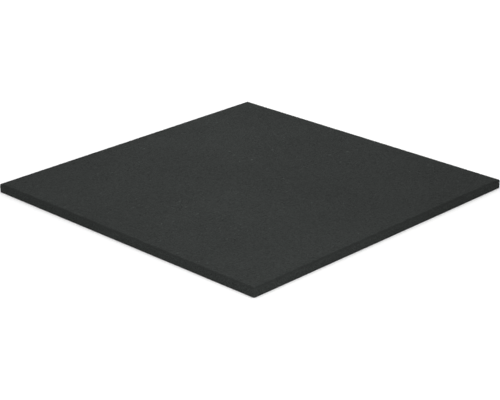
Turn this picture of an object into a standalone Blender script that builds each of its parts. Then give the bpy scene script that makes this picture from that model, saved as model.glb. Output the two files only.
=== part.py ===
"""A square rubber mat, lying flat.

The real mat is one slab of rubber crumb and binder, pressed hard in a mould. Its two faces are flat
and its four sides stand upright. The rim of the top is rounded by a few millimetres, and the rim of
the underside and the four upright corners by less.

Units are metres and +Z is up. The origin is the middle of the underside, and X and Y run along the
sides of the square.
"""

import math

import bmesh
import bpy
from mathutils import Vector

# Driving dimensions
SIDE = 0.600
THICKNESS = 0.015
CORNER_RADIUS = 0.0035
TOP_RIM_RADIUS = 0.003
UNDERSIDE_RIM_RADIUS = 0.001

# How finely the round edges are cut into flat strips
CORNER_STRIPS = 8
RIM_STRIPS = 6

# Strips that meet at less than this angle are shaded as one round surface
SMOOTH_ANGLE = math.radians(40)

# Charcoal rubber, a little green of neutral as crumb from old tyres is
RUBBER_COLOUR = (0.028, 0.031, 0.0295, 1.0)
RUBBER_ROUGHNESS = 0.85

# Two heights that differ by less than this are the same height
TINY = 1e-6


def clear_scene():
    for old in list(bpy.data.objects):
        bpy.data.objects.remove(old, do_unlink=True)


def rubber_material():
    material = bpy.data.materials.new("rubber_crumb")
    material.use_nodes = True
    shader = material.node_tree.nodes["Principled BSDF"]
    shader.inputs["Base Color"].default_value = RUBBER_COLOUR
    shader.inputs["Roughness"].default_value = RUBBER_ROUGHNESS
    shader.inputs["Metallic"].default_value = 0.0
    material.diffuse_color = RUBBER_COLOUR
    return material


def square_slab():
    """The plain block, its underside on the ground."""
    slab = bmesh.new()
    bmesh.ops.create_cube(slab, size=1.0)
    bmesh.ops.scale(slab, verts=slab.verts, vec=Vector((SIDE, SIDE, THICKNESS)))
    bmesh.ops.translate(slab, verts=slab.verts, vec=Vector((0.0, 0.0, THICKNESS / 2)))
    return slab


def upright_edges(slab):
    return [edge for edge in slab.edges
            if abs(edge.verts[0].co.z - edge.verts[1].co.z) > THICKNESS / 2]


def rim_edges(slab, height):
    """The edges that lie flat at one height, all the way round the slab."""
    return [edge for edge in slab.edges
            if all(abs(vert.co.z - height) < TINY for vert in edge.verts)]


def round_off(slab, edges, radius, strips):
    bmesh.ops.bevel(slab, geom=edges, offset=radius, offset_type="OFFSET", affect="EDGES",
                    segments=strips, profile=0.5, material=-1, clamp_overlap=False)


def rubber_mat():
    slab = square_slab()
    round_off(slab, upright_edges(slab), CORNER_RADIUS, CORNER_STRIPS)
    round_off(slab, rim_edges(slab, THICKNESS), TOP_RIM_RADIUS, RIM_STRIPS)
    round_off(slab, rim_edges(slab, 0.0), UNDERSIDE_RIM_RADIUS, RIM_STRIPS)
    bmesh.ops.recalc_face_normals(slab, faces=slab.faces)

    mesh = bpy.data.meshes.new("rubber_mat")
    slab.to_mesh(mesh)
    slab.free()
    mesh.shade_smooth()
    mesh.set_sharp_from_angle(angle=SMOOTH_ANGLE)
    mesh.materials.append(rubber_material())

    mat = bpy.data.objects.new("rubber_mat", mesh)
    bpy.context.scene.collection.objects.link(mat)
    return mat


clear_scene()
rubber_mat()
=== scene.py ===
# %% [markdown]
# # A rubber crumb mat, dressed for its photograph
#
# The real mat is one slab, 600 mm square and 15 mm thick. Shredded rubber is mixed with a binder and
# pressed in a mould. The press plate squeezes the top and the underside flat and tight. The mould's
# walls squeeze far less, so the sides and the rim stay open, rough and darker.
#
# A plain box has the right size and none of that. This lesson builds four things on the measured
# model: a slab with a fine relief, round crumbs along its sides and rim, flattened crumbs that pave its
# top, and finishes whose grain has the size of real crumb.

import math
import random

import bmesh
import bpy
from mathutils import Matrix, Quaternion, Vector, noise


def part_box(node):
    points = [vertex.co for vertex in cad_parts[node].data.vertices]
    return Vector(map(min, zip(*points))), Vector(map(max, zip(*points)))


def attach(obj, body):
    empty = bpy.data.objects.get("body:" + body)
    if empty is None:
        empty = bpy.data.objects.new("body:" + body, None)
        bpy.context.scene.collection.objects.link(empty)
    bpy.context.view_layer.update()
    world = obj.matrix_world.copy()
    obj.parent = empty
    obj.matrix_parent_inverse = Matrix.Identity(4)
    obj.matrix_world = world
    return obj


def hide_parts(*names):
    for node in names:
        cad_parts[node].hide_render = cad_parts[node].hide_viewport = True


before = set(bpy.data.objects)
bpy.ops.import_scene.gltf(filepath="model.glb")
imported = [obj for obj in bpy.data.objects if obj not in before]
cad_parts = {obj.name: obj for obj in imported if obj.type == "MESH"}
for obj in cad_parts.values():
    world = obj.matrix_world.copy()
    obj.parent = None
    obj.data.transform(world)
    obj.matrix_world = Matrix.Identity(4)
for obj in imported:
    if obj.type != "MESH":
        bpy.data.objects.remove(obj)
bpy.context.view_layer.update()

# %% [markdown]
# ## Sizes
#
# Every size starts from the measured model, so a piece can't drift away from it. Three round edges
# soften the box: the upright corners in plan, the rim of the top, and the rim of the underside. They
# are a few millimetres at most, but without them the mat would look like sheet metal.

# %% Read the slab's size and name its round edges
MM = 0.001
slab_low, slab_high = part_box("rubber_mat")
HALF = (slab_high.x - slab_low.x) / 2
THICKNESS = slab_high.z - slab_low.z
CORNER_RADIUS = 3.5 * MM
TOP_RIM = 3.0 * MM
UNDERSIDE_RIM = 1.0 * MM
print("slab:", round(2 * HALF / MM, 1), "x", round(THICKNESS / MM, 1), "mm")

# %% [markdown]
# ## Camera
#
# The photograph looks down on one corner from about 22 degrees, through a long lens, so the far
# corner is hardly smaller than the near one. A camera is easiest to keep right when it is built from
# what can be measured in a picture: the lens, the direction, and the point that it aims at. The aim
# lies a little nearer than the middle of the mat. The picture is also turned by a quarter of a degree.

# %% Aim the camera at the near half of the mat
IMAGE_WIDTH = 500
FOCAL_PIXELS = 1620.5
SENSOR = 36.0
AZIMUTH = math.radians(44.366)
ELEVATION = math.radians(22.191)
ROLL = math.radians(-0.256)
DISTANCE = 4.4386 * 2 * HALF
AIM = Vector((0.0953 * 2 * HALF, -0.0989 * 2 * HALF, THICKNESS))

towards_camera = Vector((math.sin(AZIMUTH) * math.cos(ELEVATION),
                         -math.cos(AZIMUTH) * math.cos(ELEVATION),
                         math.sin(ELEVATION)))
camera = bpy.data.objects.new("camera", bpy.data.cameras.new("camera"))
camera.data.sensor_fit = "HORIZONTAL"
camera.data.sensor_width = SENSOR
camera.data.lens = SENSOR * FOCAL_PIXELS / IMAGE_WIDTH
camera.location = AIM + towards_camera * DISTANCE
camera.rotation_mode = "QUATERNION"
level = (-towards_camera).to_track_quat("-Z", "Y")
camera.rotation_quaternion = level @ Quaternion((0, 0, 1), ROLL)
bpy.context.scene.collection.objects.link(camera)
bpy.context.scene.camera = camera
print("lens:", round(camera.data.lens, 1), "mm, camera at", [round(c, 3) for c in camera.location])

# %% [markdown]
# ## Helpers
#
# Shapes are made in a bmesh, Blender's editable mesh, and turned into an object at the very end. The
# object stays at the origin, unturned, with its place in its mesh. Node materials are long to write
# out by hand, so one helper adds a node, sets it and wires it: an input that is given as another
# node's socket gets a wire, and any other input gets the number itself.

# %% Turn a finished bmesh into an object
def make_object(shape, name, material):
    mesh = bpy.data.meshes.new(name)
    shape.to_mesh(mesh)
    shape.free()
    mesh.materials.append(material)
    piece = bpy.data.objects.new(name, mesh)
    bpy.context.scene.collection.objects.link(piece)
    triangles = sum(len(face.vertices) - 2 for face in mesh.polygons)
    print(name, "has", triangles, "triangles")
    return piece


# %% Add a node, set it and wire it
def add_node(tree, kind, inputs=None, **settings):
    made = tree.nodes.new(kind)
    for name, value in settings.items():
        setattr(made, name, value)
    for name, value in (inputs or {}).items():
        if isinstance(value, bpy.types.NodeSocket):
            tree.links.new(value, made.inputs[name])
        else:
            made.inputs[name].default_value = value
    return made


def new_material(name):
    material = bpy.data.materials.new(name)
    material.use_nodes = True
    return material, material.node_tree.nodes["Principled BSDF"]


# %% [markdown]
# ## Studio
#
# The photograph is a cut-out on white. A pale floor comes closest to that with real light, when it
# gets enough of it to reach white everywhere. A sun lamp straight overhead, with a very wide disc,
# does what a ceiling of softboxes does: it reaches the far floor as well as the near, and its shadow
# stays under the mat. Two smaller softboxes shape the mat itself. One behind it lays a sheen on the
# top. One low in front lights the two near sides, the most at the near corner. The sky is brighter in
# a band along the horizon, so that low views end in white and not in a grey line.

# %% Lay the floor
FLOOR_RADIUS = 12.0
FLOOR_SEGMENTS = 128
FLOOR_DROP = 0.05 * MM
FLOOR_WHITE = (0.93, 0.93, 0.93, 1)
FLOOR_ROUGHNESS = 0.9
FLOOR_SHINE = 0.1

floor_shape = bmesh.new()
bmesh.ops.create_circle(floor_shape, cap_ends=True, segments=FLOOR_SEGMENTS, radius=FLOOR_RADIUS)
bmesh.ops.translate(floor_shape, verts=floor_shape.verts, vec=Vector((0, 0, -FLOOR_DROP)))
floor_paint, floor_shader = new_material("floor_paint")
floor_shader.inputs["Base Color"].default_value = FLOOR_WHITE
floor_shader.inputs["Roughness"].default_value = FLOOR_ROUGHNESS
floor_shader.inputs["Specular IOR Level"].default_value = FLOOR_SHINE
floor = make_object(floor_shape, "floor", floor_paint)

# %% Light the sky
SKY_STRENGTH = 0.66
HORIZON_STRENGTH = 1.05
HORIZON_BAND = (0.14, 0.3)

sky = bpy.data.worlds.new("sky")
sky.use_nodes = True
backdrop = sky.node_tree.nodes["Background"]
backdrop.inputs["Color"].default_value = (1, 1, 1, 1)
look = add_node(sky.node_tree, "ShaderNodeTexCoord").outputs["Generated"]
rise = add_node(sky.node_tree, "ShaderNodeSeparateXYZ", {"Vector": look}).outputs["Z"]
glow = add_node(sky.node_tree, "ShaderNodeMapRange", {
    "Value": rise, "From Min": HORIZON_BAND[0], "From Max": HORIZON_BAND[1],
    "To Min": HORIZON_STRENGTH, "To Max": SKY_STRENGTH})
sky.node_tree.links.new(glow.outputs["Result"], backdrop.inputs["Strength"])
bpy.context.scene.world = sky
print("strength of the sky:", SKY_STRENGTH, "and of the horizon:", HORIZON_STRENGTH)

# %% Hang the lamps, each aimed at the middle of the mat
OVERHEAD_PLACE = Vector((0, 0, 3))
OVERHEAD_STRENGTH = 1.42
OVERHEAD_SPREAD = math.radians(40)
BACK_PLACE = Vector((-0.8, 0.8, 1.0))
BACK_WATTS = 1.9
BACK_SIZE = 0.7
FRONT_PLACE = Vector((1.2, -0.95, 0.42))
FRONT_WATTS = 5.6
FRONT_SIZE = 0.4


def add_lamp(name, kind, place, energy):
    lamp = bpy.data.objects.new(name, bpy.data.lights.new(name, kind))
    lamp.data.energy = energy
    lamp.location = place
    lamp.rotation_mode = "QUATERNION"
    lamp.rotation_quaternion = (-place).to_track_quat("-Z", "Y")
    bpy.context.scene.collection.objects.link(lamp)
    return lamp.data


add_lamp("overhead", "SUN", OVERHEAD_PLACE, OVERHEAD_STRENGTH).angle = OVERHEAD_SPREAD
add_lamp("back_softbox", "AREA", BACK_PLACE, BACK_WATTS).size = BACK_SIZE
add_lamp("front_softbox", "AREA", FRONT_PLACE, FRONT_WATTS).size = FRONT_SIZE
bpy.context.scene.view_settings.view_transform = "Standard"
print("lamps:", [lamp.name for lamp in bpy.data.lights])

# %% [markdown]
# ## Rubber crumb
#
# The rubber is one colour, a charcoal a little green of neutral. What makes it read as crumb is that
# each crumb takes the light differently, so tone, gloss and relief all change from crumb to crumb.
# Two finishes share that idea. On the slab, a Voronoi texture cuts space into cells just as crumbs
# fill a pressed slab, with thin seams between them that are darkened as painted shade in the gaps.
# On the modelled crumbs, each crumb carries its own tone as a number on its faces, and only the fine
# tearing comes from a texture; their flanks in the gaps are darkened as painted shade too. About one
# crumb in a hundred is paler, as a few always are where old rubber is shredded.
#
# The tone of the top and the sides also falls towards two opposite corners, which is painted shade
# where the light falls off. The rim and the sides, which the press squeezes less, are darker than the
# top: partly the open rubber's own darker tone, partly painted shade.

# %% Name what all the rubber has in common: its colour, and how that varies from place to place
RUBBER = (0.0242, 0.0269, 0.0256, 1)
RUBBER_SHINE = 0.12
RELIEF_STRENGTH = 0.6
NOISE_REACH = (0.3, 0.7)
CLOUDS_PER_METRE, CLOUD_TONES = 5, (0.92, 1.08)
CLUMPS_PER_METRE, CLUMP_TONES = 80, (0.965, 1.035)
TEARS_PER_METRE, TEAR_TONES = 1300, (0.9, 1.1)

# The painted shade, where the light falls off, darkens towards the corners at either end of one diagonal
# of the mat; its reaches are in metres from the mat's middle
TO_SHADED_CORNER = Vector((1, 1, 0)).normalized()
SHADED_CORNER_REACH, SHADED_CORNER_TONES = (0.0, 0.32), (1.0, 0.82)
OPPOSITE_SHADED_CORNER_REACH, OPPOSITE_SHADED_CORNER_TONES = (-0.38, -0.22), (0.9, 1.0)
print("tones of clouds, clumps and tears:", CLOUD_TONES, CLUMP_TONES, TEAR_TONES)


# %% Build a finish up by multiplying tones into the colour
class Finish:
    """A material of the rubber's colour, with one tone after another multiplied into it."""

    def __init__(self, name):
        self.material, self.shader = new_material(name)
        self.tree = self.material.node_tree
        self.place = self.add("ShaderNodeTexCoord").outputs["Object"]
        clouds = self.add("ShaderNodeTexNoise", {"Vector": self.place, "Scale": CLOUDS_PER_METRE})
        clumps = self.add("ShaderNodeTexNoise", {"Vector": self.place, "Scale": CLUMPS_PER_METRE})
        self.tears = self.add("ShaderNodeTexVoronoi", {"Vector": self.place, "Scale": TEARS_PER_METRE})
        torn = self.add("ShaderNodeSeparateColor", {"Color": self.tears.outputs["Color"]})
        self.tone = self.spread(clouds.outputs["Fac"], CLOUD_TONES, NOISE_REACH)
        self.tint(clumps.outputs["Fac"], CLUMP_TONES, NOISE_REACH)
        self.tint(torn.outputs["Red"], TEAR_TONES)
        # Painted shade: the tone falls towards two opposite corners, where the light falls off
        along = self.add("ShaderNodeVectorMath", {0: self.place, 1: TO_SHADED_CORNER},
                         operation="DOT_PRODUCT").outputs["Value"]
        self.tint(along, SHADED_CORNER_TONES, SHADED_CORNER_REACH)
        self.tint(along, OPPOSITE_SHADED_CORNER_TONES, OPPOSITE_SHADED_CORNER_REACH)

    def add(self, kind, inputs=None, **settings):
        return add_node(self.tree, kind, inputs, **settings)

    def math(self, operation, first, second=0.0):
        return self.add("ShaderNodeMath", {0: first, 1: second}, operation=operation).outputs["Value"]

    def spread(self, value, onto, reach=(0, 1)):
        """Stretches a value from one reach of numbers onto another, and no further."""
        return self.add("ShaderNodeMapRange", {
            "Value": value, "From Min": reach[0], "From Max": reach[1],
            "To Min": onto[0], "To Max": onto[1]}).outputs["Result"]

    def tint(self, value, tones, reach=(0, 1)):
        """Multiplies the tone so far by one that runs between two tones as the value runs its reach."""
        self.tone = self.math("MULTIPLY", self.tone, self.spread(value, tones, reach))

    def close(self, height, depth, roughness):
        """Wires tone, relief and roughness into the shader. A Mix node's colours are sockets 6 and 7."""
        colour = self.add("ShaderNodeMix", {"Factor": 1.0, 6: RUBBER, 7: self.tone},
                          data_type="RGBA", blend_type="MULTIPLY")
        relief = self.add("ShaderNodeBump", {
            "Height": height, "Strength": RELIEF_STRENGTH, "Distance": depth})
        self.tree.links.new(colour.outputs[2], self.shader.inputs["Base Color"])
        self.tree.links.new(roughness, self.shader.inputs["Roughness"])
        self.tree.links.new(relief.outputs["Normal"], self.shader.inputs["Normal"])
        self.shader.inputs["Specular IOR Level"].default_value = RUBBER_SHINE
        return self.material


# %% Mix the slab's finish
CRUMBS_PER_METRE = 480
CELL_TONES, CELL_HEIGHTS, CELL_ROUGHNESS = (0.9, 1.1), (0.6, 1.0), (0.7, 0.95)
SEAM_WIDTH, SEAM_SHADE_TONES, SEAM_DEPTH = 0.14, (0.55, 1.15), 0.2 * MM
OPEN_WIDTH = 5.0 * MM
# Partly the open rubber's own darker tone, partly painted shade on the rim and between the side crumbs
OPEN_RUBBER_AND_SHADE_TONE = 0.72
BORDER_RAGS_PER_METRE, BORDER_RAG, BORDER_FADE = 60, 3.0 * MM, 0.8 * MM
BORDER_START = HALF - OPEN_WIDTH + 1.2 * MM


def slab_finish():
    finish = Finish("pressed_rubber")
    crumbs = finish.add("ShaderNodeTexVoronoi", {"Vector": finish.place, "Scale": CRUMBS_PER_METRE})
    seams = finish.add("ShaderNodeTexVoronoi", {"Vector": finish.place, "Scale": CRUMBS_PER_METRE},
                       feature="DISTANCE_TO_EDGE")
    parts = finish.add("ShaderNodeSeparateColor", {"Color": crumbs.outputs["Color"]})
    face = finish.spread(seams.outputs["Distance"], (0, 1), (0, SEAM_WIDTH))
    finish.tint(parts.outputs["Red"], CELL_TONES)
    # Painted shade: the seams between cells, which lie in the gaps, are darkened
    finish.tint(face, SEAM_SHADE_TONES)

    # The darker band of the rim and the sides starts a few millimetres in from the edge: partly the open
    # rubber's own darker tone, partly painted shade on the rim and in the gaps between the side crumbs
    spot = finish.add("ShaderNodeSeparateXYZ", {"Vector": finish.place})
    across = finish.math("ABSOLUTE", spot.outputs["X"])
    along = finish.math("ABSOLUTE", spot.outputs["Y"])
    reach = finish.math("MAXIMUM", across, along)
    rags = finish.add("ShaderNodeTexNoise", {"Vector": finish.place, "Scale": BORDER_RAGS_PER_METRE})
    reach = finish.math("ADD", reach, finish.math("MULTIPLY", rags.outputs["Fac"], BORDER_RAG))
    finish.tint(reach, (1.0, OPEN_RUBBER_AND_SHADE_TONE), (BORDER_START, BORDER_START + BORDER_FADE))

    height = finish.math("MULTIPLY", face, finish.spread(parts.outputs["Green"], CELL_HEIGHTS))
    return finish.close(height, SEAM_DEPTH, finish.spread(parts.outputs["Blue"], CELL_ROUGHNESS))


pressed_rubber = slab_finish()

# %% Mix the modelled crumbs' finish
CRUMB_TONE = "crumb_tone"
PALE_SHARE = 0.01
ON_SHADED_FLANK = -1.0
FLANK_SHADE_TONE = 0.7
TEAR_DEPTH = 0.1 * MM
CRUMB_ROUGHNESS = (0.75, 0.95)
RIM_FADE = (THICKNESS - TOP_RIM, THICKNESS - 1.0 * MM)


def crumb_finish(name, tones, palest, rim_rubber_and_shade_tone):
    finish = Finish(name)
    tone = finish.add("ShaderNodeAttribute", attribute_name=CRUMB_TONE).outputs["Fac"]
    finish.tint(tone, tones)
    finish.tint(tone, (1.0, palest), (1 - PALE_SHARE, 1.0))
    # Painted shade: the flanks, which lie in the gaps between crumbs, are darkened
    finish.tint(tone, (FLANK_SHADE_TONE, 1.0), (ON_SHADED_FLANK, 0.0))
    spot = finish.add("ShaderNodeSeparateXYZ", {"Vector": finish.place})
    # Partly the open rubber's darker tone, partly painted shade: crumbs over the rim darken towards the
    # top
    finish.tint(spot.outputs["Z"], (1.0, rim_rubber_and_shade_tone), RIM_FADE)
    height = finish.tears.outputs["Distance"]
    return finish.close(height, TEAR_DEPTH, finish.spread(tone, CRUMB_ROUGHNESS))


open_crumb = crumb_finish("open_crumb", tones=(0.94, 1.42), palest=1.25, rim_rubber_and_shade_tone=OPEN_RUBBER_AND_SHADE_TONE)
pressed_crumb = crumb_finish("pressed_crumb", tones=(1.0, 1.32), palest=1.9, rim_rubber_and_shade_tone=1.0)
print("finishes:", [material.name for material in (pressed_rubber, open_crumb, pressed_crumb)])

# %% [markdown]
# ## The pressed slab
#
# The slab could be a bevelled cube, but a cube's face has no points to carry a relief. Here the top
# starts as a fine grid. Its open border is then drawn out row by row, over the rim, down the side and
# under, so one skin runs all round the section. The underside gets a coarser grid, because it is
# rarely seen, and bridge_loops joins the two borders although one has four times as many points. To
# tell which way round two borders run, bridge_loops looks along the line between their middles. Two
# borders in one plane have no such line and can be joined crosswise, so the grid waits a millimetre
# below until it is joined.

# %% Start with the top face as a grid
CELLS = 280

slab = bmesh.new()
bmesh.ops.create_grid(slab, x_segments=CELLS, y_segments=CELLS, size=HALF - TOP_RIM)
bmesh.ops.translate(slab, verts=slab.verts, vec=Vector((0, 0, THICKNESS)))
cell_size = 2 * (HALF - TOP_RIM) / CELLS
print("top face:", len(slab.faces), "cells of", round(cell_size / MM, 2), "mm")

# %% Write down the section as rows, from the top face's border to the underside
RIM_ROWS = 3
SIDE_ROWS = 5


def section_rows():
    quarter = math.radians(90)
    for step in range(1, RIM_ROWS + 1):
        turn = quarter * step / RIM_ROWS
        yield TOP_RIM * (1 - math.sin(turn)), THICKNESS - TOP_RIM * (1 - math.cos(turn))
    side_top, side_foot = THICKNESS - TOP_RIM, UNDERSIDE_RIM
    for step in range(1, SIDE_ROWS + 1):
        yield 0.0, side_top + (side_foot - side_top) * step / SIDE_ROWS
    for step in range(1, RIM_ROWS):
        turn = quarter * step / (RIM_ROWS - 1)
        yield UNDERSIDE_RIM * (1 - math.cos(turn)), UNDERSIDE_RIM * (1 - math.sin(turn))


print("section:", [(round(inset / MM, 1), round(height / MM, 1)) for inset, height in section_rows()])

# %% Draw the border out, one row at a time
def open_border(shape):
    return [edge for edge in shape.edges if edge.is_boundary]


border = open_border(slab)
for inset, height in section_rows():
    drawn = bmesh.ops.extrude_edge_only(slab, edges=border)["geom"]
    points = [part for part in drawn if isinstance(part, bmesh.types.BMVert)]
    border = [part for part in drawn if isinstance(part, bmesh.types.BMEdge) and part.is_boundary]
    grow = (HALF - inset) / max(point.co.x for point in points)
    bmesh.ops.scale(slab, verts=points, vec=Vector((grow, grow, 1)))
    for point in points:
        point.co.z = height
print("border of", len(border), "edges now ends at the underside")

# %% Close the underside with a coarser grid
UNDERSIDE_CELLS = CELLS // 4
UNDERSIDE_MARGIN = 4.0 * MM
WAITING_DROP = Vector((0, 0, 1.0 * MM))
LEVEL = 0.9  # the upward part of a normal, past which a face counts as level

under = bmesh.ops.create_grid(slab, x_segments=UNDERSIDE_CELLS, y_segments=UNDERSIDE_CELLS,
                              size=HALF - UNDERSIDE_MARGIN)["verts"]
bmesh.ops.translate(slab, verts=under, vec=-WAITING_DROP)
bmesh.ops.bridge_loops(slab, edges=open_border(slab))
bmesh.ops.translate(slab, verts=under, vec=WAITING_DROP)
bmesh.ops.recalc_face_normals(slab, faces=slab.faces)
downward = sum(1 for face in slab.faces if face.normal.z < -LEVEL)
print("open edges left:", len(open_border(slab)), "and faces that look down:", downward)

# %% Put the slab's faces in a fixed order
# The operators add their new faces in whatever order the computer's memory gives. Sorted by the
# numbers of their points, the faces come out in the same order in every run.
slab.verts.index_update()
in_order = sorted(slab.faces, key=lambda face: sorted(point.index for point in face.verts))
for number, face in enumerate(in_order):
    face.index = number
slab.faces.sort()
print("faces in order:", len(in_order))

# %% [markdown]
# ## Staying under the skin
#
# All the relief has to go inwards, so that the mat keeps its measured size. One function does that
# for every piece: it takes a place and a depth, and brings the place at least that deep under the
# mat's rounded skin. It works in two steps, first in plan and then in the section, because both have
# the same shape: a straight run that ends in a round corner.

# %% Round the slab's upright corners in plan
# Each corner is a small square in plan. Its rings are pulled from squares to arcs, and the rest of
# the grid stays straight.
ARC_CENTRE = HALF - CORNER_RADIUS


def past_arc_centre(place):
    return max(abs(place.x) - ARC_CENTRE, 0.0), max(abs(place.y) - ARC_CENTRE, 0.0)


def moved_in_plan(place, past_x, past_y, height):
    """The same place with another distance past the corner's arc centre, and another height."""
    x = min(abs(place.x), ARC_CENTRE) + past_x
    y = min(abs(place.y), ARC_CENTRE) + past_y
    return Vector((math.copysign(x, place.x), math.copysign(y, place.y), height))


in_corners = [point for point in slab.verts if min(past_arc_centre(point.co)) > 0]
for point in in_corners:
    past_x, past_y = past_arc_centre(point.co)
    pull = max(past_x, past_y) / math.hypot(past_x, past_y)
    point.co = moved_in_plan(point.co, past_x * pull, past_y * pull, point.co.z)
print(len(in_corners), "points pulled round the four corners")


# %% Bring a place under the skin
def held_to_arc(out, up, radius):
    """Brings a place past an arc back onto it. Both distances count from the arc's centre."""
    if out <= 0 or up <= 0:
        return out, up
    pull = min(1.0, radius / math.hypot(out, up))
    return out * pull, up * pull


def under_skin(place, depth):
    """The place itself if it lies at least this deep under the skin, or else the nearest that does."""
    past_x, past_y = past_arc_centre(place)
    reach = math.hypot(past_x, past_y)
    out = min(reach, CORNER_RADIUS - depth)
    height = min(max(place.z, depth), THICKNESS - depth)
    for rim, middle, way in ((TOP_RIM, THICKNESS - TOP_RIM, 1), (UNDERSIDE_RIM, UNDERSIDE_RIM, -1)):
        start = CORNER_RADIUS - rim
        held_out, held_up = held_to_arc(out - start, way * (height - middle), rim - depth)
        out, height = start + held_out, middle + way * held_up
    pull = out / reach if reach > 0 else 1.0
    return moved_in_plan(place, past_x * pull, past_y * pull, height)


box_corner = Vector((HALF, HALF, THICKNESS))
cut = (box_corner - under_skin(box_corner, 0)).length
print("the skin passes", round(cut / MM, 2), "mm inside the box's corner")

# %% [markdown]
# ## Relief
#
# The slab itself is what shows in the gaps between the crumbs. Under the top's crumbs it stays a few
# tenths of a millimetre back, with a deeper pit where a crumb is missing. Under the crumbs of the rim
# and the sides, which the mould squeezes less, it stays back further. The grid's points are also
# shifted sideways, or their rows would show as lines when light grazes the mat.

# %% Push every point in by its own amount
PRESS_BASE = 0.1 * MM
PRESS_GRAIN = 0.2 * MM
PRESS_WAVE = 0.05 * MM
WAVE_LENGTH = 60 * MM
PIT_DEPTH = 0.35 * MM
PIT_SHARE = 0.05
OPEN_DEPTH = 0.35 * MM
OPEN_GRAIN = 0.3 * MM
SHIFT = 0.35 * cell_size
SEED = 11

draw = random.Random(SEED)


def pressed_depth(place):
    depth = PRESS_BASE + PRESS_GRAIN * draw.random()
    depth += PRESS_WAVE * (0.5 + 0.5 * noise.noise(place / WAVE_LENGTH))
    if draw.random() < PIT_SHARE:
        depth += PIT_DEPTH * draw.random()
    return depth


for point in slab.verts:
    inset = HALF - max(abs(point.co.x), abs(point.co.y))
    if inset > OPEN_WIDTH:
        shift = Vector((draw.uniform(-SHIFT, SHIFT), draw.uniform(-SHIFT, SHIFT), 0))
        point.co = under_skin(point.co + shift, pressed_depth(point.co))
    elif point.co.z > 0:
        point.co = under_skin(point.co, OPEN_DEPTH + OPEN_GRAIN * draw.random())

for face in slab.faces:
    face.smooth = True
pressed_slab = make_object(slab, "pressed_slab", pressed_rubber)
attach(pressed_slab, "root")
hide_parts("rubber_mat")

# %% [markdown]
# ## A heap of crumbs
#
# A crumb is a torn, angular grain. Round the sides it is an icosphere of twenty faces, stretched,
# turned and knocked out of true. On the top, where the plate has flattened it, it is a low block of
# six faces with sloping flanks. The flanks lie in the gaps between crumbs, where shade falls, so they
# are marked for painted shade.
#
# Making thousands one at a time is slow, so one crumb is made and the whole heap doubled until there
# are enough. Doubling copies the marks and keeps the points in order, so many to a crumb. Each crumb
# can then be picked out and put in its place.

# %% Make one crumb of either kind
CRUMB = 1.1 * MM
FLAT_CRUMB_FOOT = 1.8 * MM
FLAT_CRUMB_TOP = 1.5 * MM
FLAT_CRUMB_HEIGHT = 0.8 * MM


def round_crumb(heap, _tone):
    """It has no flanks to mark."""
    bmesh.ops.create_icosphere(heap, subdivisions=1, radius=CRUMB)


def flat_crumb(heap, tone):
    bmesh.ops.create_cone(heap, cap_ends=True, segments=4, radius1=FLAT_CRUMB_FOOT,
                          radius2=FLAT_CRUMB_TOP, depth=FLAT_CRUMB_HEIGHT)
    heap.normal_update()
    for face in heap.faces:
        # Flank faces are marked for painted shade, as they lie in the gaps between crumbs
        if face.normal.z < LEVEL:
            face[tone] = ON_SHADED_FLANK


# %% Double one crumb into a heap, all on one spot
def heap_of_crumbs(crumb, count):
    heap = bmesh.new()
    crumb(heap, heap.faces.layers.float.new(CRUMB_TONE))
    points, faces = len(heap.verts), len(heap.faces)
    while len(heap.verts) < count * points:
        bmesh.ops.duplicate(heap, geom=heap.verts[:] + heap.edges[:] + heap.faces[:])
    bmesh.ops.delete(heap, geom=heap.verts[:][count * points:], context="VERTS")
    return heap, points, faces


# %% Put each crumb in its place and give it a tone
STRETCH = (0.7, 1.3)
KNOCK = (0.8, 1.2)
FULL_TURN = math.radians(360)


def scatter(crumb, centres, turn_axis, deepest):
    """Sets one crumb on each centre, and presses what stands out back to the depth drawn for it."""
    heap, crumb_points, crumb_faces = heap_of_crumbs(crumb, len(centres))
    points = heap.verts[:]
    for index, centre in enumerate(centres):
        stretch = Vector([draw.uniform(*STRETCH) for _ in range(3)])
        tilt = Quaternion(turn_axis, draw.uniform(0, FULL_TURN))
        depth = deepest * draw.random() ** 2
        for point in points[index * crumb_points:(index + 1) * crumb_points]:
            grain = tilt @ (point.co * stretch * draw.uniform(*KNOCK))
            point.co = under_skin(centre + grain, depth)

    tone = heap.faces.layers.float[CRUMB_TONE]
    for index, face in enumerate(heap.faces):
        if index % crumb_faces == 0:
            crumb_tone = draw.random()
        if face[tone] != ON_SHADED_FLANK:
            face[tone] = crumb_tone
    return heap


# %% [markdown]
# ## Crumbs on the sides and the rim
#
# The wall of the mould leaves a wall of crumbs. They lie on a loose lattice that runs up the side and
# on over the rim. Each crumb's middle is brought a little under the skin, so that only its outer part
# shows, and whatever would still stick out is pressed back onto the skin.

# %% Walk up the section: the side first, then over the rim's arc
CRUMB_PITCH = 2.15 * MM
side_height = THICKNESS - TOP_RIM - UNDERSIDE_RIM
arc_length = math.radians(90) * TOP_RIM


def on_section(walked):
    """How far in and how high the skin lies after walking this far up from the underside's rim."""
    if walked < side_height:
        return 0.0, UNDERSIDE_RIM + walked
    if walked > side_height + arc_length:
        return TOP_RIM + walked - side_height - arc_length, THICKNESS
    turn = (walked - side_height) / TOP_RIM
    return TOP_RIM * (1 - math.cos(turn)), THICKNESS - TOP_RIM * (1 - math.sin(turn))


print("walk:", round(side_height / MM, 1), "mm up and", round(arc_length / MM, 1), "mm over the rim")

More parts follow.
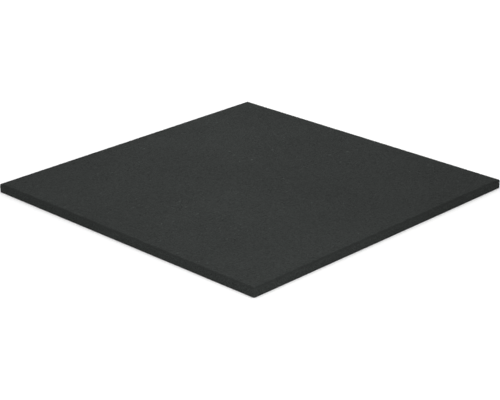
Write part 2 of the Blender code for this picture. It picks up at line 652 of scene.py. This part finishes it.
# %% Set the crumbs along all four sides
CRUMB_SINK = 0.65 * MM
ROW_SLACK = (0.1, 0.9)
OPEN_PRESS = 0.15 * MM
SLANTED = Vector((1, 1, 1))

rows = round((side_height + arc_length + OPEN_WIDTH - TOP_RIM) / CRUMB_PITCH)
columns = round(2 * HALF / CRUMB_PITCH)
side_centres = []
for side in range(4):
    turn = Quaternion((0, 0, 1), math.radians(90 * side))
    for column in range(columns):
        for row in range(rows):
            along = (column + draw.random()) * CRUMB_PITCH - HALF
            inset, height = on_section((row + draw.uniform(*ROW_SLACK)) * CRUMB_PITCH)
            place = turn @ Vector((along, inset - HALF, height))
            side_centres.append(under_skin(place, CRUMB_SINK))
print(len(side_centres), "crumbs in", rows, "rows round the sides and the rim")

side_crumbs = make_object(scatter(round_crumb, side_centres, SLANTED, OPEN_PRESS),
                          "side_crumbs", open_crumb)
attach(side_crumbs, "root")

# %% [markdown]
# ## Crumbs pressed into the top
#
# The plate squeezes the crumbs of the top level, and they pave it like flat stones, each a little
# deeper or shallower than the next. They could be drawn by a bump texture alone, but then the mat
# would be smooth wherever its mesh is used without its finish. One piece would be heavy with all of
# them, so they are laid in three strips, and their loose lattice is shared out between the strips.

# %% Pave the top with flattened crumbs, in three strips
TOP_PITCH = 2.76 * MM
TOP_MARGIN = 4.0 * MM
TOP_SINK = 0.35 * MM
PRESS_DEPTH = 0.13 * MM
UPRIGHT = Vector((0, 0, 1))

lines = round(2 * (HALF - TOP_MARGIN) / TOP_PITCH)
pitch = 2 * (HALF - TOP_MARGIN) / lines
strips = ("left", "middle", "right")
for number, strip in enumerate(strips):
    first, past_last = (lines * step // len(strips) for step in (number, number + 1))
    top_centres = []
    for column in range(first, past_last):
        for row in range(lines):
            x = (column + draw.random()) * pitch - HALF + TOP_MARGIN
            y = (row + draw.random()) * pitch - HALF + TOP_MARGIN
            top_centres.append(Vector((x, y, THICKNESS - TOP_SINK)))
    print(len(top_centres), "crumbs pressed into the", strip, "strip of the top")
    top_crumbs = make_object(scatter(flat_crumb, top_centres, UPRIGHT, PRESS_DEPTH),
                             "top_crumbs_" + strip, pressed_crumb)
    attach(top_crumbs, "root")
